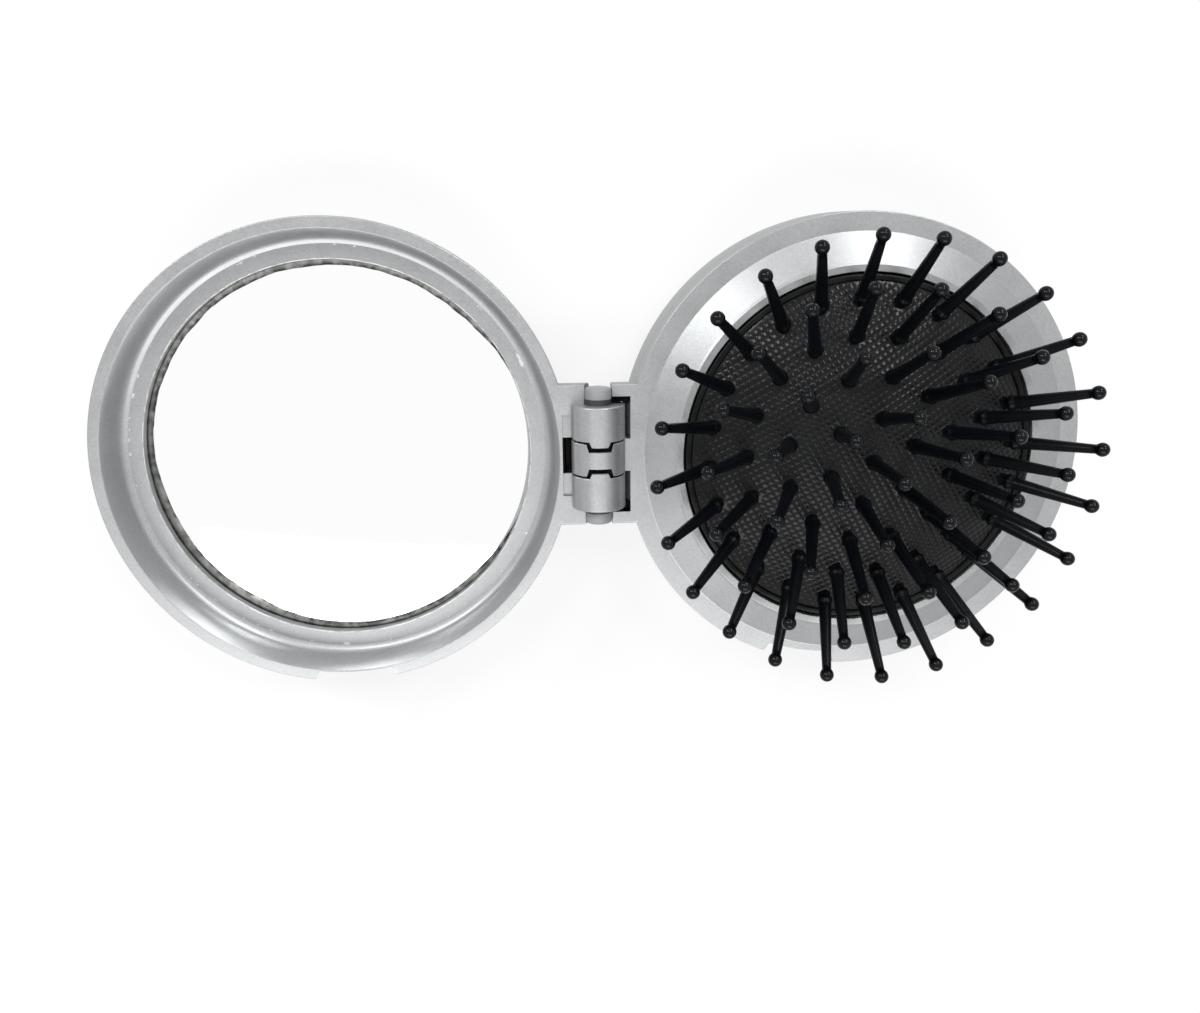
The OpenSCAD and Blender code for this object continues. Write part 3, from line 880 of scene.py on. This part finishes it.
def makeCarrier():
    # A dish with a flange and a lip turned about the brush half's middle, with a ring of vents in its deck
    deckLow, flange = carrierLow[2], (carrierHigh[1] - carrierLow[1]) / 2
    edgeZ, lipTop, deckTop, flangeTop = pad["edgeZ"], carrierHigh[2], pad["deckTop"], pad["flangeTop"]
    inner, outer, wall = pad["lipInner"], pad["lipOuter"], pad["wallInner"]
    under = edgeZ - pad["undercut"]
    profile = roundCorners([
        (0, deckLow, 0), (flange, deckLow, 0.3), (flange, flangeTop, 0.25), (outer, flangeTop, 0.2),
        (outer, lipTop, 0.3), (inner + pad["lipLean"], lipTop, 0.25), (inner, edgeZ, 0.05),
        (inner, under, 0.05), (wall, under, 0), (wall, deckTop, 0.2), (0, deckTop, 0)], closed=False)
    carrier = lathe("carrierRing", profile, brushX, closed=False)
    angle = np.radians(np.arange(0, 360, 12))
    for k in range(pad["vents"]):
        turn = 2 * math.pi * k / pad["vents"]
        middle = np.array([brushX + pad["ventAt"] * math.cos(turn), pad["ventAt"] * math.sin(turn)])
        outline = middle + pad["ventRadius"] * np.column_stack([np.cos(angle), np.sin(angle)])
        cut(carrier, prism("vent", outline, deckLow - 1, deckTop + 1))
    return carrier


def nodeNames(stem, count):
    return [f"{stem}_{k + 1}" for k in range(count)]


# Root is the distance of the roots from the middle, tilt and first are in degrees
pinRings = dict(
    centre=dict(count=1, root=0.0, tilt=0.0, first=0.0, nodes=["centre_pin"]),
    firstRing=dict(count=6, root=6.1, tilt=11, first=79.7, nodes=nodeNames("first_ring_pin", 6)),
    secondRing=dict(count=12, root=11.7, tilt=23, first=108.3, nodes=nodeNames("second_ring_pins", 6)),
    thirdRing=dict(count=18, root=17.0, tilt=36, first=98.2, nodes=nodeNames("third_ring_pins", 9)),
    outerRing=dict(count=24, root=21.9, tilt=45, first=93.4, nodes=nodeNames("outer_ring_pins", 12)),
)


def pinRoots(ring):
    # Azimuths run clockwise from the first pin; a root stands on the dome
    azimuth = np.radians(ring["first"] - 360 / ring["count"] * np.arange(ring["count"]))
    r = ring["root"]
    z = np.full(len(azimuth), pad["edgeZ"] + domeHeight(r))
    return azimuth, np.column_stack([brushX + r * np.cos(azimuth), r * np.sin(azimuth), z])


cushion = dict(pitch=0.9, stepsPerBead=6, turn=31.0, bead=0.1, sink=0.6, fullness=0.13, uneven=0.02,
               lift=0.6, clearRim=0.2, rimFade=0.3, collar=0.15, collarReach=1.3, clearCollar=0.8,
               collarFade=0.25, skin=1.2, depth=1.4, flatShare=0.06)


def beadHeights(u, v, count):
    # Small pillows |cos(pi u) cos(pi v)|^fullness, with u and v counted in beads, and how much the dice lift
    # and tip each of them
    bu, bv = u / cushion["pitch"], v / cushion["pitch"]
    pillow = np.abs(np.cos(math.pi * bu) * np.cos(math.pi * bv)) ** cushion["fullness"]
    draws = dice.uniform(-1, 1, (2 * count + 9, 2 * count + 9, 3))
    iu, iv = np.rint(bu).astype(int) + count, np.rint(bv).astype(int) + count
    lift, slopeU, slopeV = np.moveaxis(draws[iu, iv], -1, 0)
    slope = slopeU * (bu - np.rint(bu)) + slopeV * (bv - np.rint(bv))
    return pillow, cushion["uneven"] * (cushion["lift"] * lift + slope)


def makeCushion():
    # A dome covered with beads, height = (bead + uneven) * pillow - sink * bead, that fade out at the rim and
    # round each pin, where the skin rises to a collar
    step = cushion["pitch"] / cushion["stepsPerBead"]
    reach = pad["lipInner"] - 0.02
    count = int(math.ceil(reach / step)) + 1
    line = np.arange(-count, count + 1) * step
    u, v = np.meshgrid(line, line, indexing="ij")
    turn = math.radians(cushion["turn"])
    x, y = u * math.cos(turn) - v * math.sin(turn), u * math.sin(turn) + v * math.cos(turn)
    r = np.hypot(x, y)
    pillow, uneven = beadHeights(u, v, count)
    near = np.full(r.shape, 99.0)
    for ring in pinRings.values():
        for px, py in pinRoots(ring)[1][:, :2]:
            near = np.minimum(near, np.hypot(x + brushX - px, y - py))
    fromRim = (reach - cushion["clearRim"] - r) / cushion["rimFade"]
    fromPin = (near - cushion["collarReach"] * cushion["clearCollar"]) / cushion["collarFade"]
    fade = np.clip(fromRim, 0, 1) * np.clip(fromPin, 0, 1)
    # points past the rim are pulled back onto it
    over = r > reach
    scale = np.where(over, reach / np.maximum(r, 1e-9), 1)
    collar = cushion["collar"] * np.exp(-(near / cushion["collarReach"]) ** 4)
    beads = fade * ((cushion["bead"] + uneven) * pillow - cushion["bead"] * cushion["sink"])
    z = pad["edgeZ"] + domeHeight(np.minimum(r, reach)) + beads + collar
    grooveShade = (fade * (1 - pillow)).ravel()
    points = np.stack([x * scale + brushX, y * scale, z], -1).reshape(-1, 3)
    quads = gridQuads(len(line), len(line), wrapColumns=False)
    quads = quads[(r.ravel()[quads] < reach).any(1)]
    used, index = np.unique(quads, return_inverse=True)
    top, quads = points[used], index.reshape(-1, 4)
    rim = np.flatnonzero(over.ravel()[used])
    edge = top[rim[np.argsort(np.arctan2(top[rim, 1], top[rim, 0] - brushX))]]
    # the skin's underside: the edge goes down, and its rings shrink towards the middle under the dome
    foot = pad["edgeZ"] - cushion["depth"]
    rings = [edge, np.column_stack([edge[:, :2], np.full(len(edge), foot)])]
    for share in np.linspace(0.96, 0, 9):
        flat = [brushX, 0] + (edge[:, :2] - [brushX, 0]) * share
        under = max(pad["edgeZ"] + domeHeight(reach * share, cushion["skin"]), foot)
        rings.append(np.column_stack([flat, np.full(len(edge), under)]))
    lower = np.concatenate(rings)
    lowerQuads = gridQuads(len(rings), len(edge)) + len(top)
    grooveShade = np.concatenate([grooveShade[used], np.zeros(len(lower))])
    points, quads = np.concatenate([top, lower]), np.concatenate([quads, lowerQuads])
    return meshFrom("cushionSkin", points, quads, {"grooveShade": grooveShade})


button = dict(dish=0.35, dishRadius=11.0, edge=0.45)
clampRing = dict(width=1.6)


def makeButton():
    # The face is a shallow dish: z = bottom + dish (1 - (r / dishRadius)^2)
    low, high, r = buttonLow[2], buttonHigh[2], (buttonHigh[1] - buttonLow[1]) / 2
    dishR = np.linspace(0, button["dishRadius"], 12)
    dishZ = low + button["dish"] * (1 - (dishR / button["dishRadius"]) ** 2)
    face = [(a, z, 0) for a, z in zip(dishR, dishZ)]
    corners = face + [(r, low, button["edge"]), (r, high, 0.1), (0, high, 0)]
    profile = roundCorners(corners, steps=6, closed=False)
    return lathe("pushButton", profile, brushX, segments=192, closed=False)


def makeClampRing():
    # A square ring with rounded edges turned about the middle of the brush half
    low, high, outer = clampLow[2], clampHigh[2], (clampHigh[1] - clampLow[1]) / 2
    inner = outer - clampRing["width"]
    profile = roundCorners([(outer, low, 0.1), (outer, high, 0.2), (inner, high, 0.2), (inner, low, 0.1)])
    return lathe("cushionClampRing", profile, brushX, segments=160)


dress(makeCarrier(), plastics["blackPlastic"], "pad_carrier", "carrier_ring")
dress(makeButton(), plastics["buttonPlastic"], "pad_carrier", "push_button")
dress(makeClampRing(), plastics["blackPlastic"], "pad_carrier", "cushion_clamp_ring")
padSkin = dress(makeCushion(), cushionRubber, "pad_carrier", "cushion", crease=70)
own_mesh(padSkin)
print("pad is made:", len(padSkin.data.polygons), "faces on the cushion")


# Lengths along the pin count from its root on the dome
pin = dict(length=13.8, ball=1.0, shaftTip=0.65, shaftRoot=0.95, taperFrom=1.8, taperUnderBall=0.75,
           rootEnd=2.2, shaftStart=3.2, shaftEnd=11.4, collar=0.225, collarAt=0.95, collarSpread=0.42,
           stem=0.75, stemTop=0.45, head=1.2, headTop=-1.77, headThick=0.6, segments=24)


def pinProfile():
    # Above the skin r = (shaft^8 + ball^8)^(1/8) + a bell-shaped collar at the root; below are stem and head
    foot = pin["headTop"] - pin["headThick"]
    head = roundCorners([
        (0, foot, 0), (pin["head"], foot, 0.2), (pin["head"], pin["headTop"], 0.1),
        (pin["stem"], pin["headTop"], 0), (pin["stem"], pin["stemTop"], 0)], steps=2, closed=False)
    ballAt = pin["length"] - pin["ball"]
    rootLine = np.linspace(pin["stemTop"], pin["rootEnd"], 9)
    shaftLine = np.linspace(pin["shaftStart"], pin["shaftEnd"], 7)
    ballLine = ballAt - np.cos(np.radians(np.linspace(30, 180, 17))) * pin["ball"]
    along = np.concatenate([rootLine, shaftLine, ballLine])
    taperLength = ballAt - pin["taperUnderBall"] - pin["taperFrom"]
    taper = np.clip((along - pin["taperFrom"]) / taperLength, 0, 1)
    shaft = pin["shaftRoot"] + (pin["shaftTip"] - pin["shaftRoot"]) * taper
    shaft = np.where(along > ballAt, 0, shaft)
    ball = np.sqrt(np.clip(pin["ball"] ** 2 - (along - ballAt) ** 2, 0, None))
    collar = pin["collar"] * np.exp(-((along - pin["collarAt"]) / pin["collarSpread"]) ** 2)
    radius = (shaft ** 8 + ball ** 8) ** (1 / 8) + collar
    radius[-1] = 0
    return np.concatenate([head, np.column_stack([radius, along])])


def placedPins(name, ring, first, last):
    # Each pin's profile is turned about its own line, which leans outwards by the ring's tilt
    profile = pinProfile()
    a, b, c = turned(profile, pin["segments"])
    azimuth, roots = pinRoots(ring)
    tilt = math.radians(ring["tilt"])
    outward = a * math.cos(tilt) + c * math.sin(tilt)
    up = c * math.cos(tilt) - a * math.sin(tilt)
    points, quads, lengths = [], [], []
    for k in range(first, last):
        x = outward * math.cos(azimuth[k]) - b * math.sin(azimuth[k])
        y = outward * math.sin(azimuth[k]) + b * math.cos(azimuth[k])
        points.append((np.stack([x, y, up], -1) + roots[k]).reshape(-1, 3))
        quads.append(gridQuads(len(profile), pin["segments"]) + c.size * len(quads))
        lengths.append(c.ravel())
    extra = {"alongPin": np.concatenate(lengths)}
    return meshFrom(name, np.concatenate(points), np.concatenate(quads), extra)


for ringName, ring in pinRings.items():
    perNode = ring["count"] // len(ring["nodes"])
    for k, nodeName in enumerate(ring["nodes"]):
        piece = placedPins(f"{ringName}Pins{k + 1}", ring, k * perNode, (k + 1) * perNode)
        dress(piece, pinBlack, nodeName, nodeName, crease=50)
print("pins are made")
